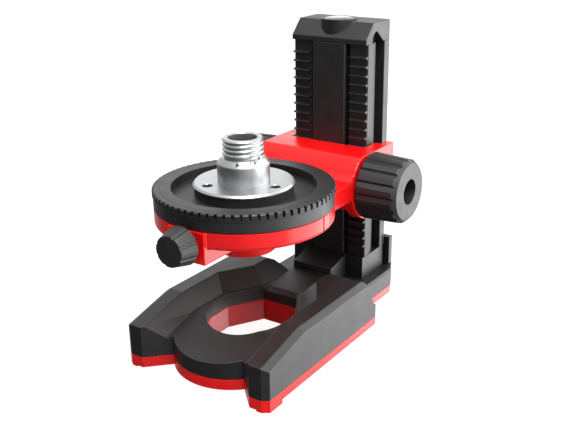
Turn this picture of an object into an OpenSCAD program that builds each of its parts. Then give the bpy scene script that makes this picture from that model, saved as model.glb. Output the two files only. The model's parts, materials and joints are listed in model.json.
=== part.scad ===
// Lifting and turning stand for a laser level.
// A forked base carries a column with two racks; a red carriage climbs the racks
// by a knob-driven pinion shaft and holds a turntable with a hollow threaded stud.
// Millimetres. +Z up, the front of the stand faces -Y, feet on Z = 0.
// Inside the modules Y = 0 is the stud axis; in_frame() shifts the stand so that
// the origin is below the middle of its outer box.

/* [Base] */
// width over the two legs
base_w = 67.8; // [64:0.2:72]
// from the stud axis to the front of the legs
leg_reach = 35.1; // [33:0.1:38]
// from the rear of the column to the rear face of the base
rear_reach = 3.8; // [3.4:0.1:6]
// height of the leg tops
leg_top_z = 23.9; // [23:0.1:25]
// height of a leg at its nose
leg_nose_z = 18; // [17:0.1:19]
// from the stud axis forward to the fold of the leg tops
fold_reach = 10.9; // [9:0.1:13]
// flat width of a leg top
leg_land = 6.6; // [5.6:0.1:7]
// height of the floor between the legs
floor_z = 17; // [16:0.1:18]
// height of the floor at the front bulge
bulge_z = 10.8; // [10:0.1:12]
// radius of the front bulge
bulge_r = 24.2; // [23:0.1:25]
// height of the rear deck
deck_z = 12.4; // [11.5:0.1:13.5]
// width of the rear deck
deck_w = 48.4; // [46:0.2:52]
// radius of the round end of the beam opening
opening_r = 17; // [15:0.1:17.5]
// thickness of the red tray rim
tray_h = 3.4; // [2.5:0.1:4.5]
// height of the red lip round the beam opening, above the tray underside
lip_h = 9.6; // [7.5:0.1:10.5]
// height of the foot pads
foot_h = 1.5; // [1:0.1:2.5]
// height of the guard plate behind the column, above the deck
guard_h = 13.4; // [8:0.1:20]

/* [Column] */
// column width
column_w = 36.1; // [35:0.1:38]
// column depth, from the front strip to the rear flange
column_d = 20.1; // [19.5:0.1:22]
// from the stud axis to the front strip of the column
column_reach = 61.1; // [60:0.1:62]
// height of the column head
head_z = 124.3; // [122:0.5:135]
// depth of the sloping front of the head
head_slope = 6.3; // [4:0.1:7]
// width of the plain front strip
strip_w = 16.2; // [14:0.1:17]
// depth of the side grooves
groove_d = 4.8; // [4:0.1:5.5]
// thickness of the rear flange
flange_t = 4.4; // [3.5:0.1:5]
// height of the plain foot above the deck
foot_block_h = 9.9; // [8:0.1:10.5]

/* [Rack drive] */
// tooth module of racks and pinions
tooth_m = 1.2; // [1.1:0.05:1.25]
// teeth on each pinion
pinion_z = 12; // [12:1:13]
// tooth height from tip to pitch line
addendum = 0.75; // [0.7:0.05:0.8]
// height of the drive shaft in the rest pose
lift_z = 59.7; // [59.5:0.1:66]
// drive shaft radius
shaft_r = 3; // [2.5:0.1:3.2]

/* [Carriage] */
// carriage width
carriage_w = 49; // [48.5:0.1:53]
// carriage top above the drive shaft
collar_up = 13.6; // [13:0.1:14.5]
// radius of the drive housing
housing_r = 15.4; // [15:0.1:16]
// carriage arms below the drive shaft
collar_down = 13.7; // [12:0.1:14.5]
// from the front of the column to the rear of the side arms
arm_reach = 14.2; // [13.5:0.1:14.3]
// radius of the dish under the turntable
dish_r = 34.6; // [34:0.1:34.8]
// height of the dish rim
dish_h = 6.6; // [6:0.1:7.2]
// lower radius of the hub under the dish
hub_r = 11.8; // [11.6:0.1:14]
// length of the hub below the dish
hub_h = 11.8; // [11:0.1:13]
// width of the boss that carries the small knob
boss_w = 16.4; // [15.6:0.1:18]

/* [Turntable] */
// turntable underside above the drive shaft
table_up = 4.6; // [4.5:0.1:5.4]
// outer radius of the toothed rim
rim_r = 34.9; // [34.8:0.1:36]
// total height of the turntable
table_h = 6.9; // [6.5:0.1:7.5]
// height of the toothed rim
rim_h = 2.3; // [2:0.1:2.6]
// number of rim notches
notches = 72; // [60:12:90]
// width of one notch
notch_w = 1.1; // [0.8:0.1:1.3]
// inner radius of the flat rim top
land_r = 27.8; // [26:0.1:29]
// depth of the ring-shaped recess in the top
recess_d = 3.4; // [2.5:0.1:3.8]

/* [Stud] */
// stud flange radius
stud_flange_r = 19.4; // [18.5:0.1:20.5]
// stud flange thickness
stud_flange_t = 1.2; // [1:0.1:2]
// plain boss radius
stud_boss_r = 10; // [9.5:0.1:11]
// plain boss height above the flange
stud_boss_h = 7.3; // [6:0.1:9]
// height of the cone below the thread
stud_cone_h = 2.5; // [1.5:0.1:3]
// major radius of the thread
thread_r = 7.94; // [7.9:0.01:8]
// thread pitch
thread_p = 1.8; // [1.7:0.05:2.35]
// length of the thread
thread_len = 7.2; // [7:0.1:12]
// radius of the beam bore through the stud
bore_r = 5.55; // [4.5:0.05:5.7]

/* [Knobs] */
// drive knob radius at the carriage side
knob_r = 14.1; // [13:0.1:14.6]
// drive knob length
knob_len = 18.1; // [15:0.1:22]
// number of grip flutes on a drive knob
flutes = 16; // [14:1:18]
// radius of the pocket in a drive knob's outer face
knob_pocket_r = 5.3; // [4.5:0.1:6]
// small knob radius at the carriage side
fine_r = 7.5; // [7:0.1:7.8]
// small knob length
fine_len = 7.7; // [7:0.1:11]
// number of grooves on the small knob
fine_grooves = 8; // [6:1:9]

/* [Vial] */
// bubble vial cup radius
cup_r = 7.4; // [7:0.1:7.8]
// bubble vial glass radius
vial_r = 6.1; // [5.5:0.1:6.2]
// from the column front to the vial axis
vial_back = 8.5; // [8:0.1:9]

/* [Hidden] */
$fn = 72;
eps = 0.02;

// clearances
run_gap = 0.05;
slide_gap = 0.3;
side_gap = 0.35;
knob_gap = 0.3;

// base
half_w = base_w / 2;
leg_chamfer = 2.7;
leg_chamfer_h = 2;
chamfer_step = 0.06;
fold_step = 0.12;
land_out = half_w - leg_chamfer;
land_in = land_out - leg_land;
wall_run = leg_top_z - floor_z;
foot_in = land_in - wall_run * 0.8;
nose_w = 5.3;
nose_facet = 1.9;
tray_z = foot_h;
shell_z = tray_z + tray_h;
lip_z = tray_z + lip_h;
lip_t = 2;
bulge_back = leg_reach - bulge_r - 1.6;
leg_end = 45.1;
leg_drop = 36.2;
rear_chamfer = 8.6;
rear_half = deck_w / 2 - 3.8;
opening_back = 22.8;
opening_side = 8.5;
opening_neck = 8.6;
channel_half = opening_neck + 0.4;
slant_x = 0.849;
slant_y = 0.529;
slant_off = land_in * slant_x + 12.2 * slant_y;
incline = atan((leg_top_z - leg_nose_z) / (leg_reach - fold_reach));
floor_incline = atan((floor_z - bulge_z) / (leg_reach - fold_reach));
pocket_wall = 3;
pocket_z = bulge_z - 2.4;
tray_screw_r = 1.3;
tray_head_r = 2.6;
tray_head_h = 1.4;
screw_deep = 3.2;
foot_w = 5;
foot_l = 9.7;
skid_z = 0.5;
rear_foot_x = 10;
guard_t = 3;
deck_chamfer = 1.2;
ledge_run = 2.6;
ledge_drop = 1.5;

// column
column_back = column_reach + column_d;
base_back = column_back + rear_reach;
half_c = column_w / 2;
tooth_p = PI * tooth_m;
pitch_y = column_reach + addendum;
pinion_r = tooth_m * pinion_z / 2;
shaft_y = pitch_y - pinion_r;
root_y = pitch_y + addendum + 0.2;
rack_t = 2.2;
tooth_inset = 0.5;
rack_in = strip_w / 2 + 1.2;
bead_r = 6;
flange_y = column_back - flange_t;
bead_y = flange_y - 9;
groove_x = half_c - groove_d;
foot_top = deck_z + foot_block_h;
lip_drop = 8.4;
head_low = head_z - lip_drop;
slope_low = head_z - head_slope;
slope_run = 6.1;
teeth_up = floor((head_low - 3.4 - lift_z) / tooth_p - 0.5);
teeth_down = floor((lift_z - foot_top - 1.2) / tooth_p - 0.5);
stop_half = 9.8;
stop_front = column_reach - 13.1;
stop_back = column_reach;
stop_low = floor_z + 2.9;
stop_tread = 5;
stop_rise = 0.8;
stop_high = foot_top + 0.6;
column_screw_r = 2;
column_screw_head_r = 3.6;
column_screw_x = 11;
column_screw_head_h = 3;
column_screw_seat = 3;
column_screw_deep = 8;
column_screw_y = column_reach + 10;

// vial
vial_y = column_reach + vial_back;
cup_z = head_z + 0.8;
cup_deep = 8;
vial_h = 4;
fluid_wall = 0.8;

// carriage
half_k = carriage_w / 2;
collar_z = lift_z + collar_up;
arm_low = lift_z - collar_down;
front_wall = column_reach - slide_gap;
arm_in = half_c + side_gap;
arm_step = half_k - 3.5;
arm_back = column_reach + arm_reach;
arm_tip = 5.2;
step_y = arm_back - arm_tip;
table_z = lift_z + table_up;
dish_top = table_z - slide_gap;
dish_low = dish_top - dish_h;
dish_deep = 2.2;
dish_floor = dish_top - dish_deep;
dish_edge = 1.6;
dish_wall = 2.4;
index_turn = 3;
index_w = 0.6;
index_d = 0.4;
table_gap = 0.4;
hub_low = dish_low - hub_h;
hub_flare = 2.8;
spigot_r = 11;
neck_top = table_z;
neck_low = dish_low - 0.6;
shoulder_run = 7.2;
shoulder_y = shaft_y - shoulder_run;
pinion_gap = 0.7;
pinion_tip = pinion_r + addendum;
pinion_x0 = rack_in + 0.2;
pinion_x1 = half_c - 0.4;
drive_pocket_r = pinion_tip + pinion_gap;
drive_pocket_x = pinion_x1 + 0.4;
bush_r = 5;
flange_r = 14.5;
flange_w = 4.5;
belly_r = 12.6;
guide_low = arm_low + 1;
guide_high = collar_z - 2.2;
guide_in = groove_x + 0.4;
guide_front = bead_y + bead_r + slide_gap;
guide_back = flange_y - slide_gap;
guide_screw_r = 1.25;
guide_head_r = 2.4;
guide_head_h = 0.3;
guide_screw_len = half_k - arm_in;
guide_screw_in = 6;

// turntable
table_top = table_z + table_h;
band_r = rim_r - 0.3;
rim_z = table_top - rim_h;
notch_sill = 0.25;
notch_d = 1.6;
pedestal_r = stud_flange_r - 0.5;
pedestal_z = table_top + 0.3;
spindle_r = 7.7;
hub_bore_r = spindle_r + run_gap;
washer_r0 = hub_bore_r + 2;
washer_r1 = 18;
washer_h = table_z - run_gap - dish_floor;
retainer_r = 9.3;
retainer_h = 2.4;
thread_seat_r = spindle_r - 1;
retainer_z = hub_low + 0.4;
retainer_pocket_r = retainer_r + 0.5;
retainer_pocket_h = retainer_z + retainer_h + 0.1 - hub_low;
track_w = 6.8;
track_in = 2.8;
track_r1 = dish_r - dish_wall - track_in;
track_r0 = track_r1 - track_w;
track_t = 0.5;
stud_screw_pcr = 14.7;
stud_screw_r = 1.5;
stud_screw_head = 2.3;
stud_screw_deep = 5;
head_sunk = 0.7;
stud_screws_n = 3;
stud_turn = -1;

// fine drive
fine_z = table_z - 5.5;
roller_r = table_z - track_t - run_gap - fine_z;
roller_y = -(track_r0 + track_r1) / 2;
roller_t = 5;
roller_gap = 0.6;
roller_side = 0.75;
roller_pocket_x = roller_r + roller_side;
roller_pocket_floor = 1.4;
fine_shaft_r = 2;
boss_front = dish_r + 0.4;
boss_drop = 6.9;
boss_low = fine_z - boss_drop;
boss_back = 12;
fine_bush_r = 3.6;
fine_bush_len = 5;
fine_gap = 1.7;
fine_tail = 8;
fine_cap = 2.5;
set_y = 2.5;
set_r = 1;
set_len = 3;
fine_tip_r = fine_r - 1.6;
fine_y0 = boss_front + fine_gap;
fine_y1 = fine_y0 + fine_len;

// frame
mid_y = (base_back - fine_y1) / 2;

// stud
stud_z = pedestal_z;
boss_z = stud_z + stud_flange_t;
cone_z = boss_z + stud_boss_h;
thread_z = cone_z + stud_cone_h;
stud_top = thread_z + thread_len;
crest_w = thread_p * 0.3;
thread_root = thread_r - 0.95;

// drive knobs
knob_x0 = half_k + knob_gap;
knob_x1 = knob_x0 + knob_len;
knob_chamfer = 1.9;
knob_end_r = knob_r - 0.7;
knob_face_r = knob_end_r - 1.6;
knob_pocket = 7;
knob_seat = knob_x1 - knob_pocket;
knob_screw_r = 1.3;
knob_screw_head_r = 3.4;
knob_screw_head_h = 2.2;
knob_screw_hex_r = 1.7;
shaft_half = knob_seat - 1.6;
flute_d = 0.8;
flute_steep = 0.7;
flute_slope = 2.9;
flute_taper = atan((knob_r - knob_end_r) / (knob_len - knob_chamfer));

black = [0.11, 0.11, 0.12];
red = [0.86, 0.1, 0.1];
steel = [0.72, 0.73, 0.75];
bright = [0.85, 0.86, 0.87];
rubber = [0.08, 0.08, 0.08];
brass = [0.78, 0.62, 0.28];
nylon = [0.9, 0.89, 0.85];
fluid = [0.86, 0.92, 0.66];

module in_frame() {
    translate([0, -mid_y, 0]) children();
}

module both_sides() {
    children();
    mirror([1, 0, 0]) children();
}

// a prism with its outline drawn in Y and Z, spread over X from x0 to x1
module along_x(x0, x1) {
    translate([x0, 0, 0]) rotate([90, 0, 90]) linear_extrude(x1 - x0) children();
}

// a prism with its outline drawn in X and Z, running from y0 to y1
module along_y(y0, y1) {
    translate([0, y1, 0]) rotate([90, 0, 0]) linear_extrude(y1 - y0) children();
}

// a round bar along X
module bar_x(r, x0, x1) {
    translate([x0, 0, 0]) rotate([0, 90, 0]) cylinder(r = r, h = x1 - x0);
}

// a round bar along Y
module bar_y(r, y0, y1) {
    translate([0, y0, 0]) rotate([-90, 0, 0]) cylinder(r = r, h = y1 - y0);
}

module leg_outline() {
    recede = land_out - nose_w;
    polygon([[recede - 10, 10 - leg_reach], [recede, -leg_reach], [land_out, -leg_reach],
        [half_w, nose_facet - leg_reach], [half_w, leg_end], [recede - 10, leg_end]]);
}

module base_outline() {
    both_sides() leg_outline();
    translate([0, -bulge_back]) circle(bulge_r);
    polygon([[-deck_w / 2, -4], [deck_w / 2, -4], [deck_w / 2, base_back - rear_chamfer],
        [rear_half, base_back], [-rear_half, base_back],
        [-deck_w / 2, base_back - rear_chamfer]]);
}

// outline of the beam opening, grown outward by g
module opening_outline(g) {
    side = opening_r + g;
    neck = opening_neck + g * 0.62;
    circle(side);
    polygon([[-side, 0], [side, 0], [side, opening_side + g * 0.3], [neck, opening_back + g],
        [-neck, opening_back + g], [-side, opening_side + g * 0.3]]);
}

// the hollow between the legs, at full height of its floor
module hollow_prism(y0, y1, foot, lip, tilt = 0) {
    rise = leg_top_z - floor_z;
    lean = (lip - foot) / rise / cos(tilt);
    high = rise + 14;
    along_y(y0, y1) polygon([[-foot, 0], [foot, 0], [foot + lean * high, high],
        [-foot - lean * high, high]]);
}

// half space in front of a slanted wall of the hollow
module slant_side() {
    rise = leg_top_z - floor_z;
    low = slant_off - rise;
    high = rise + 14;
    rotate([0, 0, atan2(slant_y, slant_x)]) along_y(-90, 90)
        polygon([[-120, 0], [low, 0], [low + high, high], [-120, high]]);
}

module hollow() {
    translate([0, 0, floor_z]) {
        intersection() {
            hollow_prism(-fold_reach - 3, 34, foot_in, land_in);
            slant_side();
            mirror([1, 0, 0]) slant_side();
        }
        hollow_prism(opening_back - 4, leg_end + 10, channel_half, channel_half + wall_run);
    }
    translate([0, -fold_reach, floor_z]) rotate([floor_incline, 0, 0])
        hollow_prism(-60, 6, foot_in - fold_step, land_in - fold_step, floor_incline);
}

// side line of the leg tops, from the nose to the deck, in Y and Z
leg_fall = leg_top_z - deck_z;
leg_line = [[-leg_reach - 6, leg_nose_z - 6 * tan(incline)], [-fold_reach, leg_top_z],
    [leg_drop, leg_top_z], [leg_drop + 3.3, leg_top_z - leg_fall * 0.15],
    [leg_drop + 6.1, leg_top_z - leg_fall * 0.48], [leg_end, deck_z]];

// material above the leg tops, with the outer chamfers that follow them
module leg_trim() {
    big = half_w + 10;
    side = deck_w / 2;
    along_x(-big, big) polygon(concat(leg_line, [[base_back + 1, deck_z],
        [base_back + 1, leg_top_z + 1], [-leg_reach - 6, leg_top_z + 1]]));
    for (k = [0 : len(leg_line) - 2]) {
        step = leg_line[k + 1] - leg_line[k];
        both_sides() translate([k * chamfer_step, leg_line[k][0], leg_line[k][1]])
            rotate([atan2(step[1], step[0]), 0, 0]) along_y(-1.5, norm(step) + 1.5)
                polygon([[land_out, 0], [half_w, -leg_chamfer_h],
                    [half_w + leg_chamfer, -2 * leg_chamfer_h], [half_w + leg_chamfer, 2],
                    [land_out, 2]]);
    }
    both_sides() along_y(leg_end, base_back + 1) polygon([[side - deck_chamfer, deck_z],
        [side + 1, deck_z - deck_chamfer - 1], [side + 1, deck_z + 1], [side - deck_chamfer, deck_z + 1]]);
}

module base_shell() {
    color(black) in_frame() {
        difference() {
            translate([0, 0, shell_z]) linear_extrude(leg_top_z - shell_z) base_outline();
            leg_trim();
            hollow();
            linear_extrude(leg_top_z) opening_outline(0);
            translate([0, 0, shell_z - 1]) linear_extrude(lip_z - shell_z + 1) opening_outline(lip_t);
            shell_pockets();
            screw_holes(tray_screw_r, shell_z - 1, shell_z + screw_deep);
            column_screw_holes(column_screw_r, 0, leg_top_z);
            column_screw_holes(column_screw_head_r, 0, deck_z - column_screw_seat);
            along_x(0.6 - opening_neck, opening_neck - 0.6) polygon([[opening_back - 1, floor_z + 1],
                [opening_back - 1, floor_z - ledge_drop], [opening_back, floor_z - ledge_drop],
                [opening_back + ledge_run, floor_z], [opening_back + ledge_run, floor_z + 1]]);
        }
        translate([-stop_half, leg_drop, deck_z - 1])
            cube([2 * stop_half, stop_back - leg_drop, floor_z - deck_z + 1]);
    }
}

// hidden relief from below in the two legs
module shell_pockets() {
    both_sides() translate([foot_in + 2, 14 - leg_reach, shell_z - 1])
        cube([half_w - foot_in - 2 - pocket_wall, leg_drop + leg_reach - 20, pocket_z - shell_z + 4]);
}

module screw_spots() {
    both_sides() {
        translate([half_w - 8, 8 - leg_reach, 0]) children();
        translate([half_w - 8, leg_end - 5, 0]) children();
        translate([deck_w / 2 - 6, base_back - rear_chamfer - 12, 0]) children();
    }
}

module screw_holes(r, z0, z1) {
    screw_spots() translate([0, 0, z0]) cylinder(r = r, h = z1 - z0);
}

module column_screw_spots() {
    both_sides() translate([column_screw_x, column_screw_y, 0]) children();
}

module column_screw_holes(r, z0, z1) {
    column_screw_spots() translate([0, 0, z0]) cylinder(r = r, h = z1 - z0);
}

module base_tray() {
    color(red) in_frame() difference() {
        union() {
            translate([0, 0, tray_z]) linear_extrude(tray_h) base_outline();
            translate([0, 0, tray_z]) linear_extrude(lip_h) opening_outline(lip_t);
            intersection() {
                translate([0, 0, skid_z]) linear_extrude(tray_h) base_outline();
                translate([-half_w, -leg_reach, 0]) cube([base_w, foot_l, tray_h]);
            }
        }
        linear_extrude(leg_top_z) opening_outline(0);
        screw_holes(tray_screw_r, 0, leg_top_z);
        screw_holes(tray_head_r, 0, tray_z + tray_head_h);
        column_screw_holes(column_screw_head_r, 0, leg_top_z);
    }
}

module base_feet() {
    color(red) in_frame() {
        intersection() {
            linear_extrude(skid_z) base_outline();
            both_sides() translate([half_w - foot_w, -leg_reach - 0.5, 0])
                cube([foot_w + 1, foot_l + 0.5, skid_z]);
        }
        both_sides() translate([rear_foot_x, base_back - foot_l - 1.5, 0])
            cube([2 * foot_w, foot_l, foot_h]);
    }
}

module tray_screws() {
    color(steel) in_frame() screw_spots() {
        translate([0, 0, tray_z]) cylinder(r = tray_head_r - 0.2, h = tray_head_h);
        translate([0, 0, tray_z]) cylinder(r = tray_screw_r, h = tray_h + screw_deep - 0.6);
    }
}

module guard_plate() {
    color(black) in_frame() translate([-rear_half, base_back - guard_t, deck_z])
        cube([2 * rear_half, guard_t, guard_h]);
}

// half of the column section, in X and Y
module column_half() {
    polygon([[0, column_reach], [strip_w / 2, column_reach], [strip_w / 2, root_y + rack_t],
        [half_c, root_y + rack_t], [half_c, bead_y], [groove_x, bead_y],
        [groove_x, flange_y], [half_c, flange_y], [half_c, column_back], [0, column_back]]);
    intersection() {
        translate([half_c - bead_r, bead_y]) circle(bead_r);
        translate([groove_x, root_y + rack_t]) square([groove_d, 20]);
    }
}

module column_section() {
    column_half();
    mirror([1, 0]) column_half();
}

module column() {
    color(black) in_frame() difference() {
        union() {
            translate([0, 0, foot_top]) linear_extrude(head_low - foot_top) column_section();
            translate([-half_c, column_reach, deck_z]) cube([column_w, column_d - 1, foot_block_h]);
        }
        column_screw_holes(column_screw_r - 0.3, deck_z - 1, deck_z + column_screw_deep + 1);
    }
}

// rack tooth outline in Y and Z
module rack_tooth() {
    tip = tooth_p * 0.12;
    foot = tooth_p * 0.31;
    polygon([[root_y + 0.3, foot], [column_reach, tip], [column_reach, -tip], [root_y + 0.3, -foot]]);
}

module rack() {
    union() {
        translate([rack_in, root_y, foot_top])
            cube([half_c - rack_in, rack_t, head_low - foot_top]);
        for (k = [-teeth_down : teeth_up])
            translate([0, 0, lift_z + (k + 0.5) * tooth_p])
                along_x(rack_in, half_c - tooth_inset) rack_tooth();
    }
}

module right_rack() {
    color(black) in_frame() rack();
}

module left_rack() {
    color(black) in_frame() mirror([1, 0, 0]) rack();
}

module lower_stop() {
    color(black) in_frame() along_x(-stop_half, stop_half)
        polygon([[stop_front, floor_z], [stop_back, floor_z], [stop_back, stop_high],
            [stop_front + stop_tread, stop_low + stop_rise], [stop_front, stop_low]]);
}

module column_screws() {
    color(steel) in_frame() column_screw_spots() {
        translate([0, 0, deck_z - column_screw_seat - column_screw_head_h])
            cylinder(r = column_screw_head_r - 0.2, h = column_screw_head_h);
        translate([0, 0, deck_z - column_screw_seat - eps])
            cylinder(r = column_screw_r - 0.3, h = column_screw_seat + column_screw_deep + eps);
    }
}

// side window of the head over the end of a groove, in Y and Z
module groove_window() {
    polygon([[root_y + rack_t + 1.4, head_low - 1], [root_y + rack_t + 1.4, head_low + 2.4],
        [root_y + rack_t + 3.6, head_low + 4.6], [root_y + rack_t + 5.2, head_low + 4.6],
        [flange_y, head_low - 1]]);
}

module column_head() {
    color(black) in_frame() difference() {
        along_x(-half_c, half_c) polygon([[column_reach, head_low], [column_reach, slope_low],
            [column_reach + slope_run, head_z], [column_back, head_z], [column_back, head_low]]);
        both_sides() along_x(groove_x + 1, half_c + 1) groove_window();
        translate([0, vial_y, cup_z - cup_deep]) cylinder(r = cup_r, h = cup_deep + 1);
    }
}

module vial_cup() {
    color(black) in_frame() translate([0, vial_y, cup_z - cup_deep]) difference() {
        cylinder(r = cup_r, h = cup_deep);
        translate([0, 0, cup_deep - vial_h]) cylinder(r = vial_r, h = vial_h + 1);
    }
}

module vial_glass() {
    color(nylon, 0.5) in_frame() translate([0, vial_y, cup_z - vial_h]) difference() {
        cylinder(r = vial_r, h = vial_h);
        translate([0, 0, fluid_wall]) cylinder(r = vial_r - fluid_wall, h = vial_h - 2 * fluid_wall);
    }
}

module vial_fluid() {
    color(fluid) in_frame() translate([0, vial_y, cup_z - vial_h + fluid_wall])
        cylinder(r = vial_r - fluid_wall, h = vial_h - 2 * fluid_wall);
}

// outline of the dish, in radius and height
module dish_profile() {
    translate([0, dish_low]) square([dish_r - dish_edge, dish_h]);
    translate([0, dish_low + dish_edge]) square([dish_r, dish_h - dish_edge]);
    translate([dish_r - dish_edge, dish_low + dish_edge]) circle(dish_edge);
}

// outline of the hub with the spigot that seats in the dish, in radius and height
module hub_profile() {
    polygon([[0, hub_low], [hub_r, hub_low], [hub_r + hub_flare, dish_low], [spigot_r, dish_low],
        [spigot_r, dish_floor], [0, dish_floor]]);
}

// side outline of neck and drive housing, in Y and Z
module neck_profile() {
    difference() {
        union() {
            translate([shaft_y, lift_z]) circle(housing_r);
            polygon([[20, neck_low], [shaft_y, neck_low], [shaft_y, collar_z], [shoulder_y, collar_z],
                [shaft_y - housing_r + 1.4, lift_z + 7], [shaft_y - housing_r - 1.6, neck_top + 0.9],
                [shaft_y - housing_r - 5, neck_top], [20, neck_top]]);
        }
        translate([shaft_y - 20, collar_z]) square([60, 20]);
    }
}

module carriage_solid() {
    along_x(-half_k, half_k) neck_profile();
    both_sides() {
        translate([0, shaft_y, arm_low]) cube([half_k, step_y - shaft_y, collar_z - arm_low]);
        translate([arm_step, step_y - eps, arm_low])
            cube([half_k - arm_step, arm_back - step_y + eps, collar_z - arm_low]);
    }
}

// space under the drive housing outside radius r, up to half a width from the middle and y behind the shaft
module housing_relief(r, half, y) {
    translate([0, shaft_y, lift_z]) difference() {
        translate([-half, -2 * housing_r, -2 * housing_r])
            cube([2 * half, 2 * housing_r + y, 2 * housing_r - lift_z + neck_low]);
        bar_x(r, -half - 1, half + 1);
    }
}

// neck, drive housing and side arms
module carriage() {
    color(red) in_frame() difference() {
        carriage_solid();
        housing_relief(flange_r, half_k + 1, 0);
        housing_relief(belly_r, half_k - flange_w, front_wall - shaft_y + 1);
        translate([-arm_in, front_wall, lift_z - housing_r - 1])
            cube([2 * arm_in, arm_back - front_wall + 1, housing_r + collar_up + 2]);
        translate([0, 0, neck_low - 1]) cylinder(r = dish_r, h = collar_z - neck_low);
        translate([0, 0, dish_top]) cylinder(r = rim_r + table_gap, h = collar_z - dish_top);
        translate([0, shaft_y, lift_z]) bar_x(drive_pocket_r, -drive_pocket_x, drive_pocket_x);
        translate([-drive_pocket_x, shaft_y, lift_z - drive_pocket_r])
            cube([2 * drive_pocket_x, front_wall - shaft_y + 1, 2 * drive_pocket_r]);
        translate([0, shaft_y, lift_z]) bar_x(bush_r, -half_k - 1, half_k + 1);
        guide_screw_holes(guide_screw_r);
    }
}

// dish with the boss of the small knob and an index groove in its edge
module dish() {
    color(red) in_frame() difference() {
        union() {
            rotate_extrude() dish_profile();
            translate([-boss_w / 2, -boss_front, boss_low])
                cube([boss_w, boss_front - boss_back, dish_top - boss_low]);
        }
        translate([0, 0, dish_floor]) cylinder(r = dish_r - dish_wall, h = dish_h);
        rotate_extrude() hub_profile();
        translate([-roller_pocket_x, roller_y - roller_t / 2 - roller_gap, boss_low + roller_pocket_floor])
            cube([2 * roller_pocket_x, roller_t + 2 * roller_gap, dish_top - boss_low]);
        translate([0, 0, fine_z]) bar_y(fine_bush_r, -boss_front - 1, roller_y);
        translate([0, 0, fine_z]) bar_y(fine_shaft_r + run_gap, roller_y, roller_y + fine_tail);
        rotate([0, 0, index_turn]) translate([dish_r - index_d, -index_w / 2, dish_low + index_d])
            cube([2, index_w, dish_h]);
    }
}

// flared hub under the dish, the bearing of the spindle
module dish_hub() {
    color(red) in_frame() difference() {
        rotate_extrude() hub_profile();
        translate([0, 0, hub_low - 1]) cylinder(r = hub_bore_r, h = dish_floor - hub_low + 2);
        translate([0, 0, hub_low - 1]) cylinder(r = retainer_pocket_r, h = retainer_pocket_h + 1);
    }
}

module guide_screw_spots() {
    both_sides() for (z = [guide_low + guide_screw_in, guide_high - guide_screw_in])
        translate([0, (step_y + arm_back) / 2, z]) children();
}

module guide_screw_holes(r) {
    guide_screw_spots() bar_x(r, half_k - guide_screw_len - 0.5, half_k + 1);
}

module guide_blocks() {
    color(rubber) in_frame() difference() {
        both_sides() {
            translate([arm_in, step_y, guide_low])
                cube([arm_step - arm_in, guide_back - step_y, guide_high - guide_low]);
            translate([guide_in, guide_front, guide_low])
                cube([arm_step - guide_in, guide_back - guide_front, guide_high - guide_low]);
        }
        guide_screw_holes(guide_screw_r);
    }
}

module guide_screws() {
    color(steel) in_frame() guide_screw_spots() {
        bar_x(guide_screw_r, half_k - guide_screw_len, half_k);
        bar_x(guide_head_r, half_k, half_k + guide_head_h);
    }
}

module shaft_bushes() {
    color(brass) in_frame() translate([0, shaft_y, lift_z]) both_sides() difference() {
        bar_x(bush_r, drive_pocket_x, half_k);
        bar_x(shaft_r + run_gap, 0, half_k + 1);
    }
}

module thrust_washer() {
    color(nylon) in_frame() translate([0, 0, dish_floor]) difference() {
        cylinder(r = washer_r1, h = washer_h);
        translate([0, 0, -1]) cylinder(r = washer_r0, h = washer_h + 2);
    }
}

module fine_bush() {
    color(brass) in_frame() translate([0, 0, fine_z]) difference() {
        bar_y(fine_bush_r, -boss_front, fine_bush_len - boss_front);
        bar_y(fine_shaft_r + run_gap, -boss_front - 1, 0);
    }
}

module drive_shaft() {
    color(steel) in_frame() translate([0, shaft_y, lift_z]) bar_x(shaft_r, -shaft_half, shaft_half);
}

function inv(a) = tan(a) - a * PI / 180;
function half_tooth(r) = (0.225 * tooth_p / pinion_r + inv(20)
    - inv(acos(min(1, pinion_r * cos(20) / r)))) * 180 / PI;
function polar(r, a) = [r * cos(a), r * sin(a)];

// pinion outline with a tooth towards +Y
module pinion_outline() {
    root = pinion_r - addendum - 0.35;
    base = pinion_r * cos(20) + 0.01;
    mid = (pinion_r + pinion_tip) / 2;
    step = 360 / pinion_z;
    polygon([for (k = [0 : pinion_z - 1]) each [
        polar(root, 90 + k * step - half_tooth(base)),
        polar(base, 90 + k * step - half_tooth(base)),
        polar(pinion_r, 90 + k * step - half_tooth(pinion_r)),
        polar(mid, 90 + k * step - half_tooth(mid)),
        polar(pinion_tip, 90 + k * step - half_tooth(pinion_tip)),
        polar(pinion_tip, 90 + k * step + half_tooth(pinion_tip)),
        polar(mid, 90 + k * step + half_tooth(mid)),
        polar(pinion_r, 90 + k * step + half_tooth(pinion_r)),
        polar(base, 90 + k * step + half_tooth(base)),
        polar(root, 90 + k * step + half_tooth(base))]]);
}

module pinion() {
    translate([0, shaft_y, lift_z]) difference() {
        rotate([0, 0, 0]) along_x(pinion_x0, pinion_x1) rotate(-90) pinion_outline();
        bar_x(shaft_r, 0, half_k);
    }
}

module right_pinion() {
    color(brass) in_frame() pinion();
}

module left_pinion() {
    color(brass) in_frame() mirror([1, 0, 0]) pinion();
}

// knob outline in length along X and radius
module knob_profile() {
    polygon([[0, knob_x0], [knob_r - 0.8, knob_x0], [knob_r, knob_x0 + 0.8],
        [knob_end_r, knob_x1 - knob_chamfer], [knob_face_r, knob_x1], [0, knob_x1]]);
}

// sawtooth outline of one grip flute, in Y and Z from the grip's surface
module flute_outline() {
    polygon([[0, -flute_d], [2 * flute_steep, flute_d], [-2 * flute_slope, flute_d]]);
}

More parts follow.
